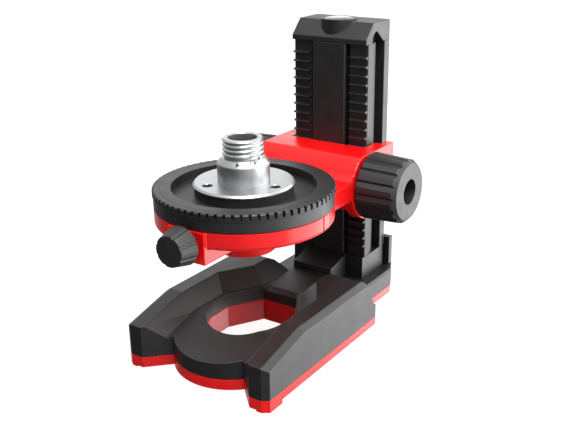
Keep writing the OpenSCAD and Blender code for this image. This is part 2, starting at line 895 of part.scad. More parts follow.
module knob() {
    translate([0, shaft_y, lift_z]) difference() {
        rotate([0, 90, 0]) rotate_extrude() knob_profile();
        bar_x(knob_pocket_r, knob_seat, knob_x1 + 1);
        bar_x(shaft_r, 0, shaft_half);
        bar_x(knob_screw_r, 0, knob_x1);
        for (k = [0 : flutes - 1])
            rotate([k * 360 / flutes, 0, 0]) translate([knob_x0, 0, knob_r]) rotate([0, flute_taper, 0])
                along_x(-1, knob_len + 2) flute_outline();
    }
}

module right_knob() {
    color(black) in_frame() knob();
}

module left_knob() {
    color(black) in_frame() mirror([1, 0, 0]) knob();
}

module knob_screws() {
    color(steel) in_frame() translate([0, shaft_y, lift_z]) both_sides() {
        bar_x(knob_screw_r, shaft_half, knob_seat);
        difference() {
            bar_x(knob_screw_head_r, knob_seat, knob_seat + knob_screw_head_h);
            translate([knob_seat + knob_screw_head_h / 2, 0, 0]) rotate([0, 90, 0])
                cylinder(r = knob_screw_hex_r, h = knob_screw_head_h, $fn = 6);
        }
    }
}

module turntable() {
    color(black) in_frame() difference() {
        union() {
            translate([0, 0, table_z]) cylinder(r = band_r, h = table_h);
            translate([0, 0, rim_z]) cylinder(r = rim_r, h = rim_h);
            translate([0, 0, table_z]) cylinder(r = pedestal_r, h = pedestal_z - table_z);
        }
        translate([0, 0, table_top - recess_d]) difference() {
            cylinder(r = land_r, h = table_h);
            translate([0, 0, -1]) cylinder(r = pedestal_r, h = table_h + 2);
        }
        translate([0, 0, table_z - 1]) cylinder(r = spindle_r, h = pedestal_z - table_z + 2);
        translate([0, 0, table_z - 1]) difference() {
            cylinder(r = track_r1, h = track_t + 1);
            translate([0, 0, -1]) cylinder(r = track_r0, h = track_t + 3);
        }
        for (k = [0 : notches - 1])
            rotate([0, 0, k * 360 / notches]) translate([rim_r - notch_d, -notch_w / 2, rim_z + notch_sill])
                cube([3, notch_w, rim_h + 1]);
        stud_screw_spots() translate([0, 0, pedestal_z - stud_screw_deep])
            cylinder(r = stud_screw_r - 0.3, h = stud_screw_deep + 1);
    }
}

// tube pressed into the turntable, turning in the hub
module spindle() {
    color(steel) in_frame() difference() {
        union() {
            translate([0, 0, retainer_z + retainer_h])
                cylinder(r = spindle_r, h = pedestal_z - retainer_z - retainer_h);
            translate([0, 0, retainer_z]) cylinder(r = thread_seat_r, h = retainer_h + 1);
        }
        translate([0, 0, retainer_z - 1]) cylinder(r = bore_r, h = pedestal_z - retainer_z + 2);
    }
}

module drive_track() {
    color(rubber) in_frame() translate([0, 0, table_z - track_t]) difference() {
        cylinder(r = track_r1, h = 2 * track_t);
        translate([0, 0, -1]) cylinder(r = track_r0, h = 20);
    }
}

module table_retainer() {
    color(steel) in_frame() translate([0, 0, retainer_z]) difference() {
        cylinder(r = retainer_r, h = retainer_h);
        translate([0, 0, -1]) cylinder(r = thread_seat_r, h = 20);
    }
}

module stud_screw_spots() {
    for (k = [0 : stud_screws_n - 1])
        rotate([0, 0, stud_turn + k * 360 / stud_screws_n]) translate([stud_screw_pcr, 0, 0])
            children();
}

// half outline of the stud with ring-shaped thread crests, in radius and height
module stud_profile() {
    bevel = 0.7;
    polygon([[bore_r, stud_z], [stud_flange_r, stud_z], [stud_flange_r, boss_z - bevel],
        [stud_flange_r - bevel, boss_z], [stud_boss_r, boss_z], [stud_boss_r, cone_z],
        [thread_r + 0.5, thread_z - 0.4], [thread_root, thread_z], [thread_root, stud_top - 0.3],
        [thread_root - 0.3, stud_top], [bore_r, stud_top]]);
}

module thread_crest() {
    polygon([[thread_root - 0.2, -thread_p * 0.44], [thread_root, -thread_p * 0.44],
        [thread_r, -crest_w / 2], [thread_r, crest_w / 2], [thread_root, thread_p * 0.44],
        [thread_root - 0.2, thread_p * 0.44]]);
}

module stud() {
    crests = floor(thread_len / thread_p);
    top_crest = stud_top - (thread_len - (crests - 1) * thread_p) / 2;
    color(bright) in_frame() difference() {
        union() {
            rotate_extrude() stud_profile();
            for (k = [0 : crests - 1])
                translate([0, 0, top_crest - k * thread_p]) rotate_extrude() thread_crest();
        }
        stud_screw_spots() {
            translate([0, 0, stud_z - 1]) cylinder(r = stud_screw_r, h = 10);
            translate([0, 0, boss_z - head_sunk]) cylinder(r = stud_screw_head, h = 5);
        }
    }
}

module stud_screws() {
    color(steel) in_frame() stud_screw_spots() difference() {
        union() {
            translate([0, 0, pedestal_z - stud_screw_deep])
                cylinder(r = stud_screw_r - 0.3, h = boss_z - head_sunk - pedestal_z + stud_screw_deep);
            translate([0, 0, boss_z - head_sunk]) cylinder(r = stud_screw_head - 0.1, h = head_sunk - 0.1);
        }
        translate([0, 0, boss_z - head_sunk + 0.2]) cylinder(r = 1.2, h = 2, $fn = 6);
    }
}

module fine_shaft() {
    color(steel) in_frame() translate([0, 0, fine_z])
        bar_y(fine_shaft_r, fine_cap - fine_y1, roller_y + fine_tail - 0.5);
}

module drive_roller() {
    color(rubber) in_frame() translate([0, 0, fine_z]) difference() {
        bar_y(roller_r, roller_y - roller_t / 2, roller_y + roller_t / 2);
        bar_y(fine_shaft_r, -boss_front, 0);
    }
}

// small knob outline in radius and length
module fine_profile() {
    polygon([[0, fine_y0], [fine_r - 0.6, fine_y0], [fine_r, fine_y0 + 0.6],
        [fine_tip_r, fine_y1 - 0.2], [fine_tip_r - 0.2, fine_y1], [0, fine_y1]]);
}

module fine_knob() {
    color(black) in_frame() translate([0, 0, fine_z]) difference() {
        union() {
            rotate([90, 0, 0]) rotate_extrude() fine_profile();
            bar_y(fine_r - 2.5, -fine_y0 - 1, -boss_front - 0.3);
        }
        bar_y(fine_shaft_r, fine_cap - fine_y1, 0);
        for (k = [0 : fine_grooves - 1])
            rotate([0, (k + 0.5) * 360 / fine_grooves, 0]) translate([0, -fine_y0, fine_r + 0.45])
                rotate([atan((fine_r - fine_tip_r) / fine_len), 0, 0]) bar_y(0.8, -fine_len - 2, 2);
        translate([0, -fine_y0 - set_y, -fine_r]) cylinder(r = set_r, h = fine_r - fine_shaft_r + 0.5);
    }
}

module fine_screw() {
    color(steel) in_frame() translate([0, -fine_y0 - set_y, fine_z - fine_shaft_r - set_len]) difference() {
        cylinder(r = set_r, h = set_len);
        translate([0, 0, -1]) cylinder(r = 0.55, h = 2, $fn = 6);
    }
}

base_shell();
base_tray();
base_feet();
tray_screws();
guard_plate();
column();
left_rack();
right_rack();
lower_stop();
column_screws();
column_head();
vial_cup();
vial_glass();
vial_fluid();
carriage();
dish();
dish_hub();
guide_blocks();
guide_screws();
shaft_bushes();
thrust_washer();
fine_bush();
drive_shaft();
left_pinion();
right_pinion();
left_knob();
right_knob();
knob_screws();
turntable();
spindle();
drive_track();
table_retainer();
stud();
stud_screws();
fine_shaft();
drive_roller();
fine_knob();
fine_screw();
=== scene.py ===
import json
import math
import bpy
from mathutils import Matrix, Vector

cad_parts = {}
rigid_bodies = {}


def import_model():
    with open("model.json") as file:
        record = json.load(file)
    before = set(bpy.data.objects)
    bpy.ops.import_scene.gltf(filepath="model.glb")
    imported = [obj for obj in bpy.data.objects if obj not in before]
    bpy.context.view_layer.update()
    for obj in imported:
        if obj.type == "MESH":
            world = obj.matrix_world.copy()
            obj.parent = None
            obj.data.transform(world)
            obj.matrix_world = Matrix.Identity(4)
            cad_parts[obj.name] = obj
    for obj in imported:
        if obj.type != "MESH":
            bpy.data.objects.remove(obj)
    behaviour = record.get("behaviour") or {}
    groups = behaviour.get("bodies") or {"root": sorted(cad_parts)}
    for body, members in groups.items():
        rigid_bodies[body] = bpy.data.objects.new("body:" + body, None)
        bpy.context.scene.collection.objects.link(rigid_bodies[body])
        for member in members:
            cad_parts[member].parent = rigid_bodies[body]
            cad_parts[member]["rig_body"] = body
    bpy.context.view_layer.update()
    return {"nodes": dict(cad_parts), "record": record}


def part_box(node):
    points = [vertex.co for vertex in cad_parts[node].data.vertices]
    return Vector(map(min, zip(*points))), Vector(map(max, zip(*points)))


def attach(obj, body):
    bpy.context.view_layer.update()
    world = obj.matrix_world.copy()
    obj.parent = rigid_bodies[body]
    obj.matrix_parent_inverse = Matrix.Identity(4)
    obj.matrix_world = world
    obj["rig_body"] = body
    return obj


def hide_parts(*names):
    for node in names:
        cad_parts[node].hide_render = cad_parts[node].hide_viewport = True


bl_info = {
    "name": "Laser Level Lift Stand",
    "version": (1, 0, 0),
    "blender": (4, 5, 0),
    "location": "View3D > Sidebar > Lift Stand",
    "description": "Dresses a lift stand for a laser level: "
                   "rounded mouldings, turned stud, vial and studio stage",
    "category": "Object",
}

import bpy
from bpy.props import FloatProperty, FloatVectorProperty, IntProperty, PointerProperty
from mathutils import Matrix, Vector

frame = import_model()
MM = 0.001
SLOTS = {part["node"]: part["material_slot"] for part in frame["record"]["subparts"]}

# Limits that the modelling steps share
WELD = 0.002 * MM  # points closer than this become one
FLAT = math.radians(0.4)  # faces that bend less than this become one flat
SHARP = math.radians(28)  # edges that turn more than this are rounded
FACET = math.radians(9.3)  # shading stays smooth up to this turn
PAST = 1 * MM  # how far a cutter reaches past what it cuts

# Base
TRAY_SHARE = 0.7  # the tray's rounding as a share of the shell's

# Column and racks
BEAD_RADIUS = 29 * MM  # arc of the column's round sides
BEAD_LEAN = math.radians(2)  # slope of that arc where it starts in front
BEAD_EASE = 0.5 * MM  # from the front of the rack's bar back to the arc
BEAD_DEPTH = 10.9 * MM  # from the front of the rack's bar back to the groove
BEAD_STEPS = 16
STRIP_ROUND = 0.7 * MM  # rounding on the long edges of the middle strip
STRIP_EDGE = 10 * MM  # edges of the strip longer than this are rounded
RACK_BAR = 2.2 * MM  # thickness of the bar behind the teeth
BAR_ROUND = 1.1 * MM  # rounding on the bar's outer front edge
TOOTH_PITCH = 1.2 * math.pi * MM
TOOTH_FOOT = 1.5 * MM  # height of a tooth where it leaves the bar
TOOTH_RIDGE = 0.16  # height of its ridge as a share of its foot
TOOTH_SINK = 0.3 * MM  # how far a tooth reaches into the bar
TOOTH_INNER = {"left_rack": 0.2 * MM, "right_rack": 0.5 * MM}  # from the bar's inner side
TOOTH_OUTER = 0.15 * MM  # from the bar's outer side
TEETH = 23
TEETH_BELOW = 8.5  # pitches from the lowest tooth up to the knob axis

# Turntable
PEDESTAL_RISE = 0.3 * MM  # the middle of the table stands this far over its rim
RIM_OVER = 0.2 * MM  # height of the chamfer's cutter over the rim
COVER_SKIN = 0.22 * MM  # thickness of the cover over the notches
COVER_EDGE = 0.8 * MM  # from the rim in to the cover's edge
COVER_REACH = 3 * MM  # from the rim in to the cover's inner end
RIM_STEPS = 144

# Stud
FLANGE_THICK = 1.2 * MM
FLANGE_BEVEL = 0.7 * MM  # bevel on the flange's upper edge
FLANGE_BREAK = 0.1 * MM  # broken lower edge
BOSS_HEIGHT = 7.3 * MM  # from the flange to the foot of the cone
CONE_HEIGHT = 2.15 * MM
NECK_RADIUS = 8.29 * MM  # top of the cone
NECK_RISE = 0.35 * MM  # from the cone up to the root of the thread
BORE_BEVEL = 0.3 * MM
ROOT_BREAK = 0.15 * MM  # broken upper edge under the thread
STUD_STEPS = 128
STUD_FACET = math.radians(32)  # keeps the thread's flanks smooth
THREAD_RADIUS = 7.94 * MM  # half of 5/8 inch
THREAD_BEVEL = 0.62 * MM  # bevel at the thread's end
THREAD_OFF = 0.3 * MM  # from the stud's end down to the last crest
THREAD_LEFT = 1.147  # turns past that crest, which set where the crests stand
THREAD_STEPS = 72
# One flank of the thread, in shares of its depth and of half its pitch
THREAD_FLANK = ((-0.4, -0.9), (0, -0.9), (0.25, -0.7), (0.65, -0.45), (0.92, -0.22), (1, 0))
HOLES = 3
HOLE_RING = 14.7 * MM
HOLE_TURN = -1  # degrees from the right to the first hole
HOLE_EDGE = 0.12 * MM  # bevel of a hole
HOLE_STEPS = 32

# Index marks on the cone: degrees round the stud, height and length
LONG_TICK = (-68.6, 81.25 * MM, 1.9 * MM)
SHORT_TICKS = ((-35.2, 81.6 * MM, 1.0 * MM), (-23.6, 81.65 * MM, 1.0 * MM))
POINTER = (-65.4, 81.2 * MM)
POINTER_RADIUS = 0.7 * MM
TICK_WIDTH = 0.5 * MM
MARK_THICK = 0.14 * MM  # half of it stands out of the cone
MARK_EDGE = 0.03 * MM

# Vial
LENS_EDGE = 0.5 * MM  # rounding of the lens
LENS_RISE = 0.55 * MM  # height of its dome
LIQUID_PLAY = 0.03 * MM  # between liquid and lens
LIQUID_DROP = 0.4 * MM  # from the top of the hollow down to the liquid
BUBBLE_RISE = 0.3 * MM
BUBBLE_DIP = 0.2 * MM
CIRCLE_RADIUS = 2.4 * MM
CIRCLE_WIDTH = 0.3 * MM
CIRCLE_RISE = 0.06 * MM

# Stage: each lamp with its place, the point it faces, its width and height, and its watts
LAMPS = (
    ("side_light", (0.9, 0.76, 0.13), (0, 0.01, 0.06), (1.9, 1.6), 35),
    ("back_light", (-0.7, 1.0, 0.5), (0, 0.01, 0.06), (1.4, 0.7), 1.8),
    ("key_light", (0.32, -0.25, 0.86), (0, 0, 0.05), (0.4, 0.4), 10),
)
FLOOR_SIZE = 8.0
FLOOR_SHOWN = 0.92  # glow that the eye sees on the floor
WALL_WAY = (0.4, 0.6, 0.69)  # direction of the bright wall
WALL_FADE = (-0.75, 0.1)  # where the room turns from dim to bright, along that direction
ROOM_DIM = 0.1  # the dim side, in reflections
ROOM_LIGHT = 0.33  # even light of the room on the stand
WHITE = (1, 1, 1, 1)
WAVE_RADIANS = 20  # Blender's wave texture turns through this in one unit of scale


# Colours and frame values

def linear(code):
    """An sRGB hex colour as linear red, green and blue."""
    parts = [int(code[k:k + 2], 16) / 255 for k in (1, 3, 5)]
    return tuple(c / 12.92 if c <= 0.04045 else ((c + 0.055) / 1.055) ** 2.4 for c in parts)


def rgba(colour):
    """A colour with full opacity, as a shader socket takes it."""
    return (*colour, 1.0)


def middle(node):
    """The centre of a CAD node's box."""
    low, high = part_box(node)
    return (low + high) / 2


STUD_AXIS = Vector((0, middle("stud").y, 0))
VIAL_AXIS = Vector((0, middle("vial_cup").y, 0))


# Settings that a user would change

class LiftStandSizes(bpy.types.PropertyGroup):
    """Sizes of the shapes that are added to the solids."""

    edge_round: FloatProperty(
        name="Edge rounding", description="Rounding on the edges of the big mouldings",
        default=0.25 * MM, unit="LENGTH", precision=5)
    fine_round: FloatProperty(
        name="Fine rounding", description="Rounding on rack teeth and knob flutes",
        default=0.12 * MM, unit="LENGTH", precision=5)
    notch_round: FloatProperty(
        name="Notch rounding", description="Rounding on the turntable's rim and its notches",
        default=0.05 * MM, unit="LENGTH", precision=5)
    rim_chamfer: FloatProperty(
        name="Rim chamfer",
        description="Chamfer on the turntable's upper edge, which the notches open into",
        default=0.35 * MM, unit="LENGTH", precision=5)
    thread_pitch: FloatProperty(
        name="Thread pitch", description="Rise of the stud thread in one turn",
        default=1.8 * MM, unit="LENGTH", precision=5)
    thread_depth: FloatProperty(
        name="Thread depth", description="Height of the thread over its root",
        default=0.8 * MM, unit="LENGTH", precision=5)
    thread_turns: IntProperty(
        name="Thread turns", description="Turns of thread, the last one cut off by the chamfer",
        default=5, min=1)
    boss_radius: FloatProperty(
        name="Stud boss radius", description="Radius of the plain boss of the stud",
        default=10 * MM, unit="LENGTH", precision=5)
    boss_round: FloatProperty(
        name="Stud boss rounding",
        description="Rounding where the boss meets the cone under the thread",
        default=0.45 * MM, unit="LENGTH", precision=5)
    bore_radius: FloatProperty(
        name="Stud bore radius", description="Radius of the beam bore through the stud",
        default=5.55 * MM, unit="LENGTH", precision=5)
    hole_radius: FloatProperty(
        name="Flange hole radius",
        description="Radius of the three screw holes in the stud flange",
        default=2.0 * MM, unit="LENGTH", precision=5)
    bubble_radius: FloatProperty(
        name="Bubble radius", description="Radius of the bubble in the vial",
        default=1.6 * MM, unit="LENGTH", precision=5)


class LiftStandColours(bpy.types.PropertyGroup):
    """Colours of the materials."""

    black: FloatVectorProperty(
        name="Black mouldings", description="Colour of the black plastic",
        default=linear("#141415"), subtype="COLOR", min=0, max=1)
    red: FloatVectorProperty(
        name="Red mouldings", description="Colour of the red plastic",
        default=linear("#ea0b0e"), subtype="COLOR", min=0, max=1)
    knob: FloatVectorProperty(
        name="Knobs", description="Colour of the knobs",
        default=linear("#181818"), subtype="COLOR", min=0, max=1)
    metal: FloatVectorProperty(
        name="Stud metal", description="Colour of the bright turned metal",
        default=linear("#b6b7b8"), subtype="COLOR", min=0, max=1)
    fluid: FloatVectorProperty(
        name="Vial fluid", description="Tint of the fluid in the vial",
        default=linear("#ccd384"), subtype="COLOR", min=0, max=1)


class LiftStandStage(bpy.types.PropertyGroup):
    """Place and view of the camera."""

    camera_place: FloatVectorProperty(
        name="Camera place", description="Position of the camera",
        default=(0.189367, -0.269987, 0.174878), subtype="XYZ", unit="LENGTH", precision=5)
    azimuth: FloatProperty(
        name="Azimuth", description="Turn of the view to the right of the front",
        default=math.radians(34.569), unit="ROTATION")
    elevation: FloatProperty(
        name="Elevation", description="Height of the view above the horizon",
        default=math.radians(20.426), unit="ROTATION")
    roll: FloatProperty(
        name="Roll", description="Tilt of the view",
        default=math.radians(-0.860), unit="ROTATION")
    lens: FloatProperty(
        name="Lens", description="Focal length on a 36 mm sensor", default=55.374, unit="CAMERA")


def sizes():
    """The sizes set in the scene."""
    return bpy.context.scene.lift_stand_sizes


def colours():
    """The colours set in the scene."""
    return bpy.context.scene.lift_stand_colours


# Modelling steps

def deselect():
    """Leaves edit mode with nothing selected."""
    if bpy.context.object and bpy.context.object.mode != "OBJECT":
        bpy.ops.object.mode_set(mode="OBJECT")
    bpy.ops.object.select_all(action="DESELECT")


def pick(piece):
    """Makes a piece the only selected and active object."""
    deselect()
    piece.select_set(True)
    bpy.context.view_layer.objects.active = piece


def edit(piece):
    """Opens a piece in edit mode with all of it selected."""
    pick(piece)
    bpy.ops.object.mode_set(mode="EDIT")
    bpy.ops.mesh.select_mode(type="VERT")
    bpy.ops.mesh.select_all(action="SELECT")


def close():
    """Leaves edit mode."""
    bpy.ops.object.mode_set(mode="OBJECT")


def settle():
    """Moves the place, turn and scale of the active object into its mesh."""
    bpy.ops.object.transform_apply(location=True, rotation=True, scale=True)


def modify(piece, kind, **settings):
    """Adds a modifier with its settings and applies it."""
    pick(piece)
    added = piece.modifiers.new(kind.title(), kind)
    for key, value in settings.items():
        setattr(added, key, value)
    bpy.ops.object.modifier_apply(modifier=added.name)


def smooth(piece, angle=FACET):
    """Smooth shading that breaks where faces meet at more than an angle."""
    pick(piece)
    bpy.ops.object.shade_smooth_by_angle(angle=angle)


def moulding(node, name):
    """A merged copy of a CAD node with its flat faces in one piece each."""
    piece = bpy.data.objects.new(name, frame["nodes"][node].data.copy())
    piece.data.name = name
    piece.data.materials.clear()
    bpy.context.collection.objects.link(piece)
    pick(piece)
    bpy.ops.mesh.customdata_custom_splitnormals_clear()
    edit(piece)
    bpy.ops.mesh.remove_doubles(threshold=WELD)
    bpy.ops.mesh.dissolve_degenerate(threshold=WELD)
    bpy.ops.mesh.select_all(action="SELECT")
    bpy.ops.mesh.dissolve_limited(angle_limit=FLAT)
    close()
    return piece


def round_edges(piece, width):
    """Rounds the sharp edges of a moulding and leaves its flats flat."""
    modify(piece, "BEVEL", width=width, segments=2, limit_method="ANGLE", angle_limit=SHARP,
           use_clamp_overlap=False)
    smooth(piece)


def dress(piece, node):
    """Gives a piece the material of the CAD node that it stands for and that node's body, and
    hides the node.
    """
    slot = SLOTS[node]
    piece.data.materials.append(materials()[slot])
    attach(piece, frame["nodes"][node]["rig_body"])
    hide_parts(node)


def rounded(node, name, width):
    """A CAD node's moulding with rounded edges, dressed."""
    piece = moulding(node, name)
    round_edges(piece, width)
    dress(piece, node)


def eased(start, corner, end, steps=4):
    """Points along a curve that rounds a corner of an outline."""
    shares = [k / steps for k in range(steps + 1)]
    return [tuple((1 - t) ** 2 * a + 2 * t * (1 - t) * b + t * t * c
                  for a, b, c in zip(start, corner, end)) for t in shares]


def wire(name, start, steps):
    """A line of edges drawn step by step from a start, with its ends joined where they meet."""
    deselect()
    bpy.ops.mesh.primitive_plane_add(size=MM, location=start)
    piece = bpy.context.object
    piece.name = piece.data.name = name
    settle()
    edit(piece)
    bpy.ops.mesh.merge(type="CENTER")
    for step in steps:
        bpy.ops.mesh.extrude_region_move(TRANSFORM_OT_translate={"value": step})
    bpy.ops.mesh.select_all(action="SELECT")
    bpy.ops.mesh.remove_doubles(threshold=WELD)
    close()
    return piece


def outline_wire(name, points, axis):
    """An outline of (radius, height) points beside a vertical axis."""
    start = (axis.x + points[0][0], axis.y, points[0][1])
    return wire(name, start, [(there[0] - here[0], 0, there[1] - here[1])
                              for here, there in zip(points, points[1:])])


def turned(name, points, axis, steps=96):
    """A turned shape: an outline spun round a vertical axis."""
    piece = outline_wire(name, points, axis)
    edit(piece)
    bpy.ops.mesh.spin(steps=steps, angle=math.tau, center=(axis.x, axis.y, 0), axis=(0, 0, 1))
    bpy.ops.mesh.select_all(action="SELECT")
    bpy.ops.mesh.remove_doubles(threshold=WELD)
    bpy.ops.mesh.normals_make_consistent(inside=False)
    close()
    return piece


def prism(name, points, low, high):
    """A post of constant section: (x, y) points, filled and drawn up from low to high."""
    piece = wire(name, (*points[0], low), [
        (there[0] - here[0], there[1] - here[1], 0)
        for here, there in zip(points, points[1:] + points[:1])])
    edit(piece)
    bpy.ops.mesh.edge_face_add()
    raise_face(high - low)
    return piece


def raise_face(height):
    """Draws the selected face up to a solid and leaves edit mode."""
    bpy.ops.mesh.extrude_region_move(TRANSFORM_OT_translate={"value": (0, 0, height)})
    bpy.ops.mesh.select_all(action="SELECT")
    bpy.ops.mesh.normals_make_consistent(inside=False)
    close()


def join(name, pieces):
    """Several shapes as one piece."""
    pick(pieces[0])
    for piece in pieces[1:]:
        piece.select_set(True)
    bpy.ops.object.join()
    pieces[0].name = pieces[0].data.name = name
    return pieces[0]


def combine(piece, other, operation):
    """Joins, cuts or meets a piece with another solid, which is used up."""
    modify(piece, "BOOLEAN", operation=operation, object=other, solver="EXACT")
    bpy.data.objects.remove(other)


# Materials

def add_node(tree, kind, inputs=None, **settings):
    """Adds a shader node with its settings, and its inputs as values or links."""
    made = tree.nodes.new(kind)
    for key, value in settings.items():
        setattr(made, key, value)
    for key, value in (inputs or {}).items():
        if isinstance(value, bpy.types.NodeSocket):
            tree.links.new(value, made.inputs[key])
        else:
            made.inputs[key].default_value = value
    return made


def blank(name):
    """A new material with an empty node tree and its object coordinates."""
    material = bpy.data.materials.new(name)
    material.use_nodes = True
    material.node_tree.nodes.clear()
    place = add_node(material.node_tree, "ShaderNodeTexCoord").outputs["Object"]
    return material, material.node_tree, place


def output(tree, shader):
    """Ends a node tree in its surface output."""
    add_node(tree, "ShaderNodeOutputMaterial", {"Surface": shader.outputs[0]})


def mottled(tree, place, colour, share, spot):
    """A colour that varies by a share, in soft spots of a real size, and those spots."""
    spots = add_node(tree, "ShaderNodeTexNoise", {
        "Vector": place, "Scale": 1 / spot, "Detail": 3.0}).outputs["Fac"]
    dark = rgba([c * (1 - share) for c in colour])
    pale = rgba([min(1.0, c * (1 + share)) for c in colour])
    # A colour mix has its factor at 0, its two colours at 6 and 7 and its result at 2.
    mix = add_node(tree, "ShaderNodeMix", {0: spots, 6: dark, 7: pale}, data_type="RGBA")
    return mix.outputs[2], spots


def spread(tree, value, low, high):
    """The middle of a pattern, 0.3 to 0.7, spread over a range."""
    return add_node(tree, "ShaderNodeMapRange", {
        "Value": value, "From Min": 0.3, "From Max": 0.7,
        "To Min": low, "To Max": high}).outputs[0]


def grain(tree, place, size, strength, height):
    """Fine bumps of a real size."""
    bumps = add_node(tree, "ShaderNodeTexNoise", {
        "Vector": place, "Scale": 1 / size, "Detail": 2.0})
    return add_node(tree, "ShaderNodeBump", {
        "Height": bumps.outputs["Fac"], "Strength": strength, "Distance": height}).outputs[0]


def moulded(name, colour, vary, spot, gloss, ior, grit, bump, height=0.02 * MM, **sockets):
    """Dyed plastic or rubber: colour and roughness vary in spots, over a fine grit."""
    material, tree, place = blank(name)
    tint, spots = mottled(tree, place, colour, vary, spot)
    shader = add_node(tree, "ShaderNodeBsdfPrincipled", {
        "Base Color": tint, "Roughness": spread(tree, spots, *gloss), "IOR": ior,
        "Normal": grain(tree, place, grit, bump, height), **sockets})
    output(tree, shader)
    return material


def black_abs():
    # ABS moulded against a finely eroded mould: dark, with a soft broad gloss.
    # The grain is drawn at 0.35 mm, coarser than the real one, so that it shows.
    return moulded(
        "Black ABS, fine eroded mould", colours().black, vary=0.12, spot=7 * MM,
        gloss=(0.45, 0.52), ior=1.53, grit=0.35 * MM, bump=0.10, **{"Specular IOR Level": 0.6})


def red_abs():
    # ABS from a polished mould: strong even red with a clear gloss and faint flow marks.
    return moulded(
        "Red ABS, polished mould", colours().red, vary=0.03, spot=9 * MM,
        gloss=(0.24, 0.30), ior=1.53, grit=0.5 * MM, bump=0.04)


def red_rubber():
    # Moulded thermoplastic rubber: the same red, a little darker, dull and slightly grained.
    return moulded(
        "Red thermoplastic rubber", [c * 0.9 for c in colours().red], vary=0.06, spot=3 * MM,
        gloss=(0.6, 0.75), ior=1.5, grit=0.4 * MM, bump=0.2, height=0.03 * MM)


def knob_plastic():
    # Nylon with a matt mould face, so the grip stays dull: near black with a broad sheen.
    return moulded(
        "Black nylon, matt mould", colours().knob, vary=0.15, spot=4 * MM,
        gloss=(0.46, 0.54), ior=1.53, grit=0.3 * MM, bump=0.14, **{"Specular IOR Level": 0.6})


def cup_plastic():
    # Acetal cup of the vial, moulded: dark and smooth.
    return moulded(
        "Black acetal, moulded cup", linear("#1b1b1c"), vary=0.12, spot=3 * MM,
        gloss=(0.38, 0.46), ior=1.48, grit=0.3 * MM, bump=0.08)


def black_acetal():
    # Machined acetal sliders: waxy black.
    return moulded(
        "Black acetal, machined", linear("#101011"), vary=0.15, spot=3 * MM,
        gloss=(0.35, 0.5), ior=1.48, grit=0.4 * MM, bump=0.1)


def natural_nylon():
    # Undyed nylon washer: milky and dull.
    return moulded(
        "Natural nylon", linear("#e6e1d2"), vary=0.05, spot=4 * MM,
        gloss=(0.45, 0.6), ior=1.53, grit=0.4 * MM, bump=0.1)


def drive_rubber():
    # Ground nitrile rubber of the friction drive: black and dull.
    return moulded(
        "Nitrile rubber, ground", linear("#141414"), vary=0.2, spot=2 * MM,
        gloss=(0.7, 0.9), ior=1.52, grit=0.25 * MM, bump=0.3, height=0.04 * MM)


def turned_metal(name, colour, gloss, ring):
    """Metal from a lathe: faint rings along Z, a given distance apart, that stretch its shine."""
    material, tree, place = blank(name)
    rings = add_node(tree, "ShaderNodeTexWave", {
        "Vector": place, "Scale": math.tau / ring / WAVE_RADIANS,
        "Distortion": 1.5, "Detail": 2.0}, wave_type="BANDS", bands_direction="Z")
    tint, spots = mottled(tree, place, colour, 0.04, 5 * MM)
    bump = add_node(tree, "ShaderNodeBump", {
        "Height": rings.outputs["Fac"], "Strength": 0.05, "Distance": 0.01 * MM})
    shader = add_node(tree, "ShaderNodeBsdfPrincipled", {
        "Base Color": tint, "Metallic": 1.0, "Roughness": spread(tree, spots, *gloss),
        "Normal": bump.outputs[0]})
    output(tree, shader)
    return material


def bright_metal():
    # Nickel-plated brass, turned and polished: bright, with faint tool rings 1.6 mm apart,
    # drawn far coarser than the real ones so that they show.
    return turned_metal(
        "Nickel-plated brass, turned", colours().metal, gloss=(0.32, 0.40), ring=1.5708 * MM)


def ground_steel():
    # Centreless-ground steel: grey with a fine satin.
    return turned_metal("Steel, ground", linear("#b4b6b9"), gloss=(0.24, 0.34), ring=1.2566 * MM)


def screw_steel():
    # Zinc-plated screws: pale grey with a slightly uneven gloss.
    return turned_metal(
        "Steel, zinc-plated", linear("#aeb0b2"), gloss=(0.26, 0.42), ring=1.885 * MM)


def black_oxide():
    # Alloy steel cap screws with an oxide finish: dark grey, slightly oily.
    return turned_metal(
        "Steel, black oxide", linear("#3c3c3e"), gloss=(0.36, 0.5), ring=1.885 * MM)


def machined_brass():
    # Brass bushes and pinions as cut: yellow with tool marks.
    return turned_metal("Brass, machined", linear("#c9a252"), gloss=(0.22, 0.34), ring=1.5708 * MM)


def vial_acrylic():
    # Clear acrylic of the vial, moulded and glossy, with a faint waviness.
    material, tree, place = blank("Clear acrylic")
    waves = grain(tree, place, 2.5 * MM, 0.04, 0.05 * MM)
    shader = add_node(tree, "ShaderNodeBsdfPrincipled", {
        "Base Color": rgba(linear("#f1f2d6")), "Roughness": 0.04, "IOR": 1.49,
        "Transmission Weight": 1.0, "Normal": waves})
    output(tree, shader)
    return material


def vial_spirit():
    # Tinted spirit: pale yellow green and partly clear over the dark cup.
    material, tree, place = blank("Vial spirit, tinted")
    tint, spots = mottled(tree, place, colours().fluid, 0.04, 3 * MM)
    shader = add_node(tree, "ShaderNodeBsdfPrincipled", {
        "Base Color": tint, "Roughness": spread(tree, spots, 0.08, 0.14),
        "IOR": 1.36, "Transmission Weight": 0.35})
    output(tree, shader)
    return material


def index_paint():
    # Black marking paint in a thin raised layer: matt.
    material, tree, place = blank("Index paint, black")
    tint, spots = mottled(tree, place, linear("#0e0e0e"), 0.2, 1 * MM)
    shader = add_node(tree, "ShaderNodeBsdfPrincipled", {
        "Base Color": tint, "Roughness": spread(tree, spots, 0.5, 0.7)})
    output(tree, shader)
    return material


